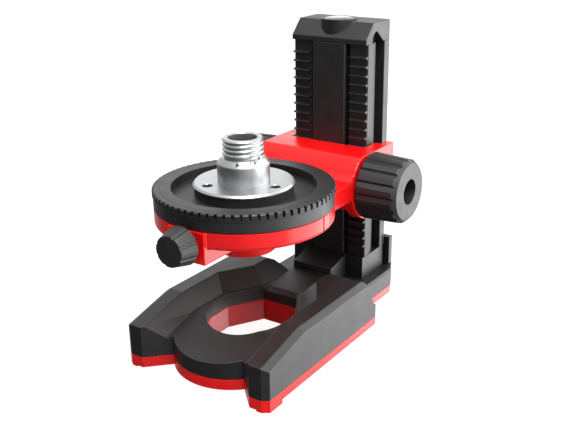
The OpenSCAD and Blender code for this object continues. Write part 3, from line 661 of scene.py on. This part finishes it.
MAKERS = {
    "black_plastic": black_abs,
    "red_plastic": red_abs,
    "red_rubber": red_rubber,
    "screw_steel": screw_steel,
    "cup_plastic": cup_plastic,
    "vial_glass": vial_acrylic,
    "vial_fluid": vial_spirit,
    "acetal": black_acetal,
    "brass": machined_brass,
    "nylon": natural_nylon,
    "shaft_steel": ground_steel,
    "knob_plastic": knob_plastic,
    "drive_rubber": drive_rubber,
    "bright_metal": bright_metal,
    "index_paint": index_paint,
    "black_oxide": black_oxide,
}
MADE = {}


def materials():
    """The materials by slot, made once."""
    if not MADE:
        MADE.update({slot: make() for slot, make in MAKERS.items()})
    return MADE


# Operators, one for each group of pieces

class LIFTSTAND_OT_hardware(bpy.types.Operator):
    """Give every solid its material."""

    bl_idname = "liftstand.hardware"
    bl_label = "Finish Hardware"

    def execute(self, context):
        for node, solid in frame["nodes"].items():
            solid.data.materials.clear()
            solid.data.materials.append(materials()[SLOTS[node]])
        return {"FINISHED"}


class LIFTSTAND_OT_base(bpy.types.Operator):
    """Round the forked base, its red tray and the guard plate."""

    bl_idname = "liftstand.base"
    bl_label = "Make Base"

    def execute(self, context):
        rounded("base_shell", "forked_shell", sizes().edge_round)
        rounded("base_tray", "red_tray", sizes().edge_round * TRAY_SHARE)
        rounded("guard_plate", "rear_guard", sizes().edge_round)
        return {"FINISHED"}


class LIFTSTAND_OT_column(bpy.types.Operator):
    """Round the column, its foot stop and head, and cut its racks."""

    bl_idname = "liftstand.column"
    bl_label = "Make Column"

    def execute(self, context):
        post = moulding("column", "column_post")
        for side in (-1, 1):
            combine(post, self.bead_cut(side), "DIFFERENCE")
        self.soften_strip(post)
        round_edges(post, sizes().edge_round)
        dress(post, "column")
        rounded("column_head", "column_cap", sizes().edge_round)
        rounded("lower_stop", "stop_step", sizes().edge_round)
        for node, name, side in (("left_rack", "rack_teeth_left", -1),
                                 ("right_rack", "rack_teeth_right", 1)):
            rack = self.bar(node, side)
            combine(rack, self.teeth(node, side), "UNION")
            rack.name = rack.data.name = name
            smooth(rack)
            dress(rack, node)
        return {"FINISHED"}

    def bead(self, depth):
        """Points of the round side of the column, from its front edge back to a depth."""
        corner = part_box("right_rack")[1]
        front = corner.y - RACK_BAR + BEAD_EASE
        last = math.asin(math.sin(BEAD_LEAN) + (depth - BEAD_EASE) / BEAD_RADIUS)
        turns = [BEAD_LEAN + (last - BEAD_LEAN) * k / BEAD_STEPS for k in range(BEAD_STEPS + 1)]
        return [(corner.x + BEAD_RADIUS * (math.cos(t) - math.cos(BEAD_LEAN)),
                 front + BEAD_RADIUS * (math.sin(t) - math.sin(BEAD_LEAN))) for t in turns]

    def bead_cut(self, side):
        """The space outside the round side in front of a groove."""
        low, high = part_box("left_rack")
        arc = self.bead(BEAD_DEPTH)
        out = arc[0][0] + PAST
        points = [(out, arc[0][1]), *arc, (out, arc[-1][1])]
        return prism("bead_cutter", [(side * x, y) for x, y in points], low.z, high.z + PAST)

    def soften_strip(self, post):
        """A wider rounding on the two long edges of the middle strip."""
        front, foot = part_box("column")[0].y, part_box("left_rack")[0].z
        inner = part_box("right_rack")[0].x
        points = post.data.vertices
        corners = {v.index for v in points if abs(v.co.y - front) < WELD
                   and abs(v.co.x) < inner and v.co.z > foot - WELD}
        edit(post)
        bpy.ops.mesh.select_mode(type="EDGE")
        bpy.ops.mesh.select_all(action="DESELECT")
        close()
        points = post.data.vertices
        for line in post.data.edges:
            rise = points[line.vertices[0]].co.z - points[line.vertices[1]].co.z
            line.select = set(line.vertices) <= corners and abs(rise) > STRIP_EDGE
        bpy.ops.object.mode_set(mode="EDIT")
        bpy.ops.mesh.bevel(offset=STRIP_ROUND, segments=4, affect="EDGES")
        close()

    def bar(self, node, side):
        """The plain bar of a rack, with the round of the column on its outer side."""
        low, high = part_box(node)
        inner, outer = sorted((abs(low.x), abs(high.x)))
        front, arc = high.y - RACK_BAR, self.bead(RACK_BAR)
        corner = eased((outer - BAR_ROUND, front), (outer, front), arc[0], steps=5)
        points = [(inner, front), *corner, *arc[1:], (inner, high.y)]
        bar = prism("rack_bar", [(side * x, y) for x, y in points], low.z, high.z)
        round_edges(bar, sizes().fine_round)
        return bar

    def teeth(self, node, side):
        """A row of slim teeth: one drawn to a ridge and repeated up the bar."""
        low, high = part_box(node)
        inner, outer = sorted((abs(low.x), abs(high.x)))
        near, far = inner + TOOTH_INNER[node], outer - TOOTH_OUTER
        root = high.y - RACK_BAR + TOOTH_SINK
        first = middle("right_knob").z - TEETH_BELOW * TOOTH_PITCH
        deselect()
        bpy.ops.mesh.primitive_cube_add(
            size=1, location=(side * (near + far) / 2, (root + low.y) / 2, first),
            scale=(far - near, root - low.y, TOOTH_FOOT))
        tooth = bpy.context.object
        settle()
        edit(tooth)
        bpy.ops.mesh.select_all(action="DESELECT")
        close()
        for corner in tooth.data.vertices:
            corner.select = corner.co.y < root - WELD
        bpy.ops.object.mode_set(mode="EDIT")
        bpy.ops.transform.resize(value=(1, 1, TOOTH_RIDGE), center_override=(0, 0, first))
        close()
        round_edges(tooth, sizes().fine_round)
        modify(tooth, "ARRAY", count=TEETH, use_relative_offset=False, use_constant_offset=True,
               constant_offset_displace=(0, 0, TOOTH_PITCH))
        return tooth


class LIFTSTAND_OT_carriage(bpy.types.Operator):
    """Round the red carriage, dish and hub."""

    bl_idname = "liftstand.carriage"
    bl_label = "Make Carriage"

    def execute(self, context):
        rounded("carriage", "red_carriage", sizes().edge_round)
        rounded("dish", "red_dish", sizes().edge_round)
        rounded("dish_hub", "red_hub", sizes().edge_round)
        return {"FINISHED"}


class LIFTSTAND_OT_turntable(bpy.types.Operator):
    """Chamfer the turntable's rim, cover the inner part of its notches and round it."""

    bl_idname = "liftstand.turntable"
    bl_label = "Make Turntable"

    def execute(self, context):
        table = moulding("turntable", "notched_table")
        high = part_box("turntable")[1]
        rim, top = high.x, high.z - PEDESTAL_RISE
        combine(table, self.chamfer(rim, top), "DIFFERENCE")
        combine(table, self.cover(rim, top), "UNION")
        edit(table)
        bpy.ops.mesh.dissolve_limited(angle_limit=FLAT)
        close()
        round_edges(table, sizes().notch_round)
        dress(table, "turntable")
        return {"FINISHED"}

    def chamfer(self, rim, top):
        """The corner that is cut off the rim's upper edge."""
        inner, outer = rim - sizes().rim_chamfer, rim + PAST
        foot, over = top - sizes().rim_chamfer, top + RIM_OVER
        return turned("rim_cutter", [
            (inner, top), (rim, foot), (outer, foot), (outer, over), (inner, over), (inner, top)],
            STUD_AXIS, steps=RIM_STEPS)

    def cover(self, rim, top):
        """A thin ring over the inner part of the notches."""
        inner, edge, foot = rim - COVER_REACH, rim - COVER_EDGE, top - COVER_SKIN
        return turned("rim_cover", [
            (inner, foot), (edge, foot), (edge, top), (inner, top), (inner, foot)],
            STUD_AXIS, steps=RIM_STEPS)


class LIFTSTAND_OT_knobs(bpy.types.Operator):
    """Round the two drive knobs and the small knob."""

    bl_idname = "liftstand.knobs"
    bl_label = "Make Knobs"

    def execute(self, context):
        rounded("left_knob", "drive_knob_left", sizes().fine_round)
        rounded("right_knob", "drive_knob_right", sizes().fine_round)
        rounded("fine_knob", "small_knob", sizes().fine_round)
        return {"FINISHED"}


class LIFTSTAND_OT_stud(bpy.types.Operator):
    """Turn the hollow stud, cut its thread and set its screws and index marks."""

    bl_idname = "liftstand.stud"
    bl_label = "Make Stud"

    def execute(self, context):
        low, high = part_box("stud")
        self.flange = low.z + FLANGE_THICK
        self.cone = (sizes().boss_radius, self.flange + BOSS_HEIGHT)
        self.neck = (NECK_RADIUS, self.cone[1] + CONE_HEIGHT)
        self.lean = math.atan2(self.cone[0] - self.neck[0], self.neck[1] - self.cone[1])
        stud = self.body(low, high)
        for spot in self.holes():
            combine(stud, self.drill(spot, low.z), "DIFFERENCE")
        smooth(stud, STUD_FACET)
        dress(stud, "stud")
        screws = join("stud_cap_screws", [self.screw(spot, low.z) for spot in self.holes()])
        smooth(screws)
        dress(screws, "stud_screws")
        screws.data.materials[0] = materials()["black_oxide"]
        self.marks()
        return {"FINISHED"}

    def body(self, low, high):
        """The flange, boss, cone and bore with a wound thread."""
        size, cone, rim, top = sizes(), self.cone, high.x, high.z
        root = THREAD_RADIUS - size.thread_depth
        thread_z = self.neck[1] + NECK_RISE
        lip = eased((cone[0], cone[1] - size.boss_round), cone,
                    (cone[0] - math.sin(self.lean) * size.boss_round,
                     cone[1] + math.cos(self.lean) * size.boss_round))
        outline = [
            (size.bore_radius, low.z), (rim - FLANGE_BREAK, low.z), (rim, low.z + FLANGE_BREAK),
            (rim, self.flange - FLANGE_BEVEL), (rim - FLANGE_BEVEL, self.flange),
            (cone[0], self.flange), *lip, self.neck,
            (root, thread_z), (root, top - ROOT_BREAK), (root - ROOT_BREAK, top),
            (size.bore_radius + BORE_BEVEL, top), (size.bore_radius, top - BORE_BEVEL),
            (size.bore_radius, low.z)]
        stud = turned("turned_stud", outline, STUD_AXIS, steps=STUD_STEPS)
        combine(stud, self.thread(root, thread_z, top), "UNION")
        return stud

    def thread(self, root, low, high):
        """One solid ridge wound round the stud."""
        size = sizes()
        half = size.thread_pitch / 2
        start = high - THREAD_OFF - size.thread_pitch * (size.thread_turns - THREAD_LEFT)
        section = [(root + size.thread_depth * out, start + half * up) for out, up in THREAD_FLANK]
        section += [(r, 2 * start - z) for r, z in reversed(section[:-1])]
        ridge = outline_wire("thread_ridge", section + section[:1], STUD_AXIS)
        bpy.context.scene.cursor.location = STUD_AXIS
        pick(ridge)
        bpy.ops.object.origin_set(type="ORIGIN_CURSOR")
        modify(ridge, "SCREW", axis="Z", angle=math.tau, steps=THREAD_STEPS,
               render_steps=THREAD_STEPS, screw_offset=size.thread_pitch,
               iterations=size.thread_turns, use_merge_vertices=False)
        edit(ridge)
        bpy.ops.mesh.remove_doubles(threshold=WELD)
        bpy.ops.mesh.select_all(action="DESELECT")
        bpy.ops.mesh.select_non_manifold()
        bpy.ops.mesh.edge_face_add()
        bpy.ops.mesh.select_all(action="SELECT")
        bpy.ops.mesh.normals_make_consistent(inside=False)
        close()
        settle()
        foot, major = low - 3 * MM, THREAD_RADIUS + WELD
        bar = turned("thread_bar", [
            (0, foot), (major, foot), (major, high - THREAD_BEVEL),
            (THREAD_RADIUS - THREAD_BEVEL, high), (0, high)], STUD_AXIS, steps=STUD_STEPS)
        combine(ridge, bar, "INTERSECT")
        return ridge

    def holes(self):
        """The axes of the three screw holes in the flange."""
        turns = [math.radians(HOLE_TURN + 360 / HOLES * k) for k in range(HOLES)]
        return [STUD_AXIS + Vector((HOLE_RING * math.cos(t), HOLE_RING * math.sin(t), 0))
                for t in turns]

    def drill(self, spot, low):
        """The shape of a chamfered hole through the flange."""
        r, foot = sizes().hole_radius, low - PAST
        return turned("flange_drill", [
            (0, foot), (r, foot), (r, self.flange - HOLE_EDGE),
            (r + 2 * HOLE_EDGE, self.flange + HOLE_EDGE), (0, self.flange + HOLE_EDGE)],
            spot, steps=HOLE_STEPS)

    def screw(self, spot, low):
        """A cap screw with a six-sided socket, sunk in its hole."""
        head, shank, edge = sizes().hole_radius - 0.1 * MM, 1.2 * MM, 0.2 * MM
        tip, neck, top = low - 5 * MM, low - 0.4 * MM, self.flange - 0.6 * MM
        key, depth = 0.9 * MM, 0.5 * MM
        screw = turned("cap_screw", [
            (0, tip), (shank, tip), (shank, neck), (head, neck),
            (head, top - edge), (head - edge, top), (0, top)], spot, steps=HOLE_STEPS)
        deselect()
        bpy.ops.mesh.primitive_circle_add(
            vertices=6, radius=key, fill_type="NGON", location=(spot.x, spot.y, top - depth))
        socket = bpy.context.object
        settle()
        edit(socket)
        raise_face(PAST)
        combine(screw, socket, "DIFFERENCE")
        return screw

    def marks(self):
        """Index marks on the cone: a line with a pointer, and two short lines."""
        marks = join("index_marks", [
            self.tick(*LONG_TICK), self.pointer(*POINTER),
            *[self.tick(*short) for short in SHORT_TICKS]])
        modify(marks, "BEVEL", width=MARK_EDGE, segments=1, limit_method="ANGLE",
               angle_limit=SHARP)
        marks.data.materials.clear()
        marks.data.materials.append(materials()["index_paint"])
        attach(marks, "turntable")

    def facing(self, degrees, height):
        """A place on the cone, with axes along its ring, up its slope and out of its face."""
        turn = math.radians(degrees)
        ring = Vector((-math.sin(turn), math.cos(turn), 0))
        out = Vector((math.cos(turn), math.sin(turn), 0))
        slope = Vector((0, 0, math.cos(self.lean))) - out * math.sin(self.lean)
        face = ring.cross(slope)
        r = self.cone[0] - math.tan(self.lean) * (height - self.cone[1])
        return STUD_AXIS + out * r + Vector((0, 0, height)), ring, slope, face

    def tick(self, degrees, height, length):
        """A painted line up the cone."""
        place, ring, slope, face = self.facing(degrees, height)
        deselect()
        bpy.ops.mesh.primitive_cube_add(
            size=1, location=place,
            rotation=Matrix((ring, slope, face)).transposed().to_euler(),
            scale=(TICK_WIDTH, length, MARK_THICK))
        settle()
        return bpy.context.object

    def pointer(self, degrees, height):
        """A painted triangle beside the long line."""
        place, ring, slope, face = self.facing(degrees, height)
        deselect()
        bpy.ops.mesh.primitive_cylinder_add(
            vertices=3, radius=POINTER_RADIUS, depth=MARK_THICK, location=place,
            rotation=Matrix((-slope, ring, face)).transposed().to_euler())
        settle()
        return bpy.context.object


class LIFTSTAND_OT_vial(bpy.types.Operator):
    """Make the bubble vial in its cup."""

    bl_idname = "liftstand.vial"
    bl_label = "Make Vial"

    def execute(self, context):
        rounded("vial_cup", "vial_ring", sizes().fine_round)
        low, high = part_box("vial_fluid")
        level = high.z - LIQUID_DROP
        self.lens(low, high)
        self.liquid(low.z + LIQUID_PLAY, high.x - LIQUID_PLAY, level)
        self.bubble(level)
        self.circle(level)
        return {"FINISHED"}

    def lens(self, inner_low, inner_high):
        """The clear body with a domed top and a hollow for the liquid."""
        low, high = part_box("vial_glass")
        r, top, inner = high.x, high.z, inner_high.x
        flat, crown = r - LENS_EDGE, top + LENS_RISE
        lens = turned("vial_lens", [
            (0, low.z), (r, low.z), *eased((r, top - LENS_EDGE), (r, top), (flat, top)),
            *eased((flat, top), (0.5 * r, crown), (0, crown), steps=8)[1:]], VIAL_AXIS)
        hollow = turned("vial_hollow", [
            (0, inner_low.z), (inner, inner_low.z), (inner, inner_high.z), (0, inner_high.z)],
            VIAL_AXIS)
        combine(lens, hollow, "DIFFERENCE")
        smooth(lens)
        dress(lens, "vial_glass")

    def liquid(self, foot, r, level):
        """The spirit that fills the hollow up to a level."""
        liquid = turned("vial_liquid", [(0, foot), (r, foot), (r, level), (0, level)], VIAL_AXIS)
        smooth(liquid)
        dress(liquid, "vial_fluid")

    def bubble(self, level):
        """A flat drop of air on the liquid."""
        r, crown = sizes().bubble_radius, level + BUBBLE_RISE
        bubble = turned("vial_bubble", [
            (0, level - BUBBLE_DIP), (0.8 * r, level - 0.75 * BUBBLE_DIP),
            *eased((r, level), (r, crown), (0, crown))], VIAL_AXIS, steps=48)
        smooth(bubble, math.radians(40))
        bubble.data.materials.append(materials()["vial_glass"])
        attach(bubble, "base")

    def circle(self, level):
        """The ring mark that the bubble is set to."""
        inner, outer = CIRCLE_RADIUS, CIRCLE_RADIUS + CIRCLE_WIDTH
        foot, top = level - CIRCLE_RISE, level + CIRCLE_RISE
        circle = turned("vial_circle", [
            (inner, foot), (outer, foot), (outer, top), (inner, top), (inner, foot)],
            VIAL_AXIS, steps=64)
        smooth(circle)
        circle.data.materials.append(materials()["index_paint"])
        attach(circle, "base")


class LIFTSTAND_OT_stage(bpy.types.Operator):
    """Set the floor, light, world and camera."""

    bl_idname = "liftstand.stage"
    bl_label = "Set Stage"

    def execute(self, context):
        self.floor()
        self.world(context.scene)
        for lamp in LAMPS:
            self.lamp(*lamp)
        self.camera(context.scene)
        context.scene.view_settings.view_transform = "Standard"
        return {"FINISHED"}

    def floor(self):
        """A wide pale floor that shows white and keeps the shadow."""
        deselect()
        bpy.ops.mesh.primitive_plane_add(size=FLOOR_SIZE, location=(0, 0, 0))
        plate = bpy.context.object
        plate.name = "studio_floor"
        # Matt studio paper: even and pale, with faint soft spots.
        material, tree, place = blank("Studio paper, white")
        fibre = mottled(tree, place, linear("#9c9c9c"), 0.01, 12 * MM)[0]
        paper = add_node(tree, "ShaderNodeBsdfDiffuse", {"Color": fibre})
        glow = add_node(tree, "ShaderNodeEmission", {
            "Color": WHITE, "Strength": self.seen(tree, 0.0, FLOOR_SHOWN)})
        both = add_node(tree, "ShaderNodeAddShader", {0: paper.outputs[0], 1: glow.outputs[0]})
        output(tree, both)
        plate.data.materials.append(material)
        plate.visible_glossy = False
        plate.visible_shadow = False

    def either(self, tree, first, second):
        """One where a ray is of one kind or the other."""
        return add_node(tree, "ShaderNodeMath", {0: first, 1: second},
                        operation="MAXIMUM").outputs[0]

    def seen(self, tree, hidden, shown):
        """One strength for camera, glossy and transmitted rays, another for the rest."""
        path = add_node(tree, "ShaderNodeLightPath").outputs
        mirror = self.either(tree, path["Is Camera Ray"], path["Is Glossy Ray"])
        return add_node(tree, "ShaderNodeMapRange", {
            "Value": self.either(tree, mirror, path["Is Transmission Ray"]),
            "To Min": hidden, "To Max": shown}).outputs[0]

    def world(self, scene):
        """A white wall behind the stand that fades to a dim room in front of it."""
        scene.world = bpy.data.worlds.new("Studio surround")
        scene.world.use_nodes = True
        tree = scene.world.node_tree
        tree.nodes.clear()
        way = add_node(tree, "ShaderNodeTexCoord").outputs["Generated"]
        behind = add_node(tree, "ShaderNodeVectorMath", {0: way, 1: WALL_WAY},
                          operation="DOT_PRODUCT")
        wall = add_node(tree, "ShaderNodeMapRange", {
            "Value": behind.outputs["Value"], "From Min": WALL_FADE[0], "From Max": WALL_FADE[1],
            "To Min": ROOM_DIM, "To Max": 1.0}, interpolation_type="SMOOTHSTEP")
        path = add_node(tree, "ShaderNodeLightPath").outputs
        shown = add_node(tree, "ShaderNodeMapRange", {
            "Value": self.either(tree, path["Is Glossy Ray"], path["Is Transmission Ray"]),
            "To Min": ROOM_LIGHT, "To Max": wall.outputs[0]})
        level = add_node(tree, "ShaderNodeMapRange", {
            "Value": path["Is Camera Ray"], "To Min": shown.outputs[0], "To Max": 1.0})
        sky = add_node(tree, "ShaderNodeBackground", {
            "Color": WHITE, "Strength": level.outputs[0]})
        add_node(tree, "ShaderNodeOutputWorld", {"Surface": sky.outputs[0]})

    def lamp(self, name, place, target, size, power):
        """A soft box that faces a point."""
        deselect()
        bpy.ops.object.light_add(type="AREA", location=place)
        lamp = bpy.context.object
        lamp.name = name
        lamp.data.shape = "RECTANGLE"
        lamp.data.size, lamp.data.size_y = size
        lamp.data.energy = power
        facing = Vector(target) - Vector(place)
        lamp.rotation_euler = facing.to_track_quat("-Z", "Y").to_euler()
        lamp.visible_camera = False

    def camera(self, scene):
        """The camera at the photograph's viewing angle."""
        stage = scene.lift_stand_stage
        turn, lift, roll = stage.azimuth, stage.elevation, stage.roll
        back = Vector((math.sin(turn) * math.cos(lift), -math.cos(turn) * math.cos(lift),
                       math.sin(lift)))
        flat = Vector((math.cos(turn), math.sin(turn), 0))
        up = back.cross(flat)
        side = flat * math.cos(roll) + up * math.sin(roll)
        top = up * math.cos(roll) - flat * math.sin(roll)
        deselect()
        bpy.ops.object.camera_add()
        camera = bpy.context.object
        camera.name = "view_camera"
        camera.data.lens = stage.lens
        camera.data.sensor_width = 36
        camera.data.clip_start = 0.01
        pose = Matrix((side, top, back)).transposed().to_4x4()
        pose.translation = Vector(stage.camera_place)
        camera.matrix_world = pose
        scene.camera = camera


class LIFTSTAND_PT_panel(bpy.types.Panel):
    """The steps in the sidebar."""

    bl_label = "Lift Stand"
    bl_idname = "LIFTSTAND_PT_panel"
    bl_space_type = "VIEW_3D"
    bl_region_type = "UI"
    bl_category = "Lift Stand"

    def draw(self, context):
        for step in STEPS:
            self.layout.operator(step.bl_idname)


STEPS = (
    LIFTSTAND_OT_hardware,
    LIFTSTAND_OT_base,
    LIFTSTAND_OT_column,
    LIFTSTAND_OT_carriage,
    LIFTSTAND_OT_turntable,
    LIFTSTAND_OT_knobs,
    LIFTSTAND_OT_stud,
    LIFTSTAND_OT_vial,
    LIFTSTAND_OT_stage,
)
GROUPS = (LiftStandSizes, LiftStandColours, LiftStandStage)
CLASSES = GROUPS + STEPS + (LIFTSTAND_PT_panel,)


def register():
    """Adds the classes and the scene's settings."""
    for cls in CLASSES:
        bpy.utils.register_class(cls)
    bpy.types.Scene.lift_stand_sizes = PointerProperty(type=LiftStandSizes)
    bpy.types.Scene.lift_stand_colours = PointerProperty(type=LiftStandColours)
    bpy.types.Scene.lift_stand_stage = PointerProperty(type=LiftStandStage)


def unregister():
    """Takes them away again."""
    del bpy.types.Scene.lift_stand_stage
    del bpy.types.Scene.lift_stand_colours
    del bpy.types.Scene.lift_stand_sizes
    for cls in reversed(CLASSES):
        bpy.utils.unregister_class(cls)


def main():
    """Runs the steps in order."""
    register()
    bpy.ops.liftstand.hardware()
    bpy.ops.liftstand.base()
    bpy.ops.liftstand.column()
    bpy.ops.liftstand.carriage()
    bpy.ops.liftstand.turntable()
    bpy.ops.liftstand.knobs()
    bpy.ops.liftstand.stud()
    bpy.ops.liftstand.vial()
    bpy.ops.liftstand.stage()


if __name__ == "__main__":
    main()
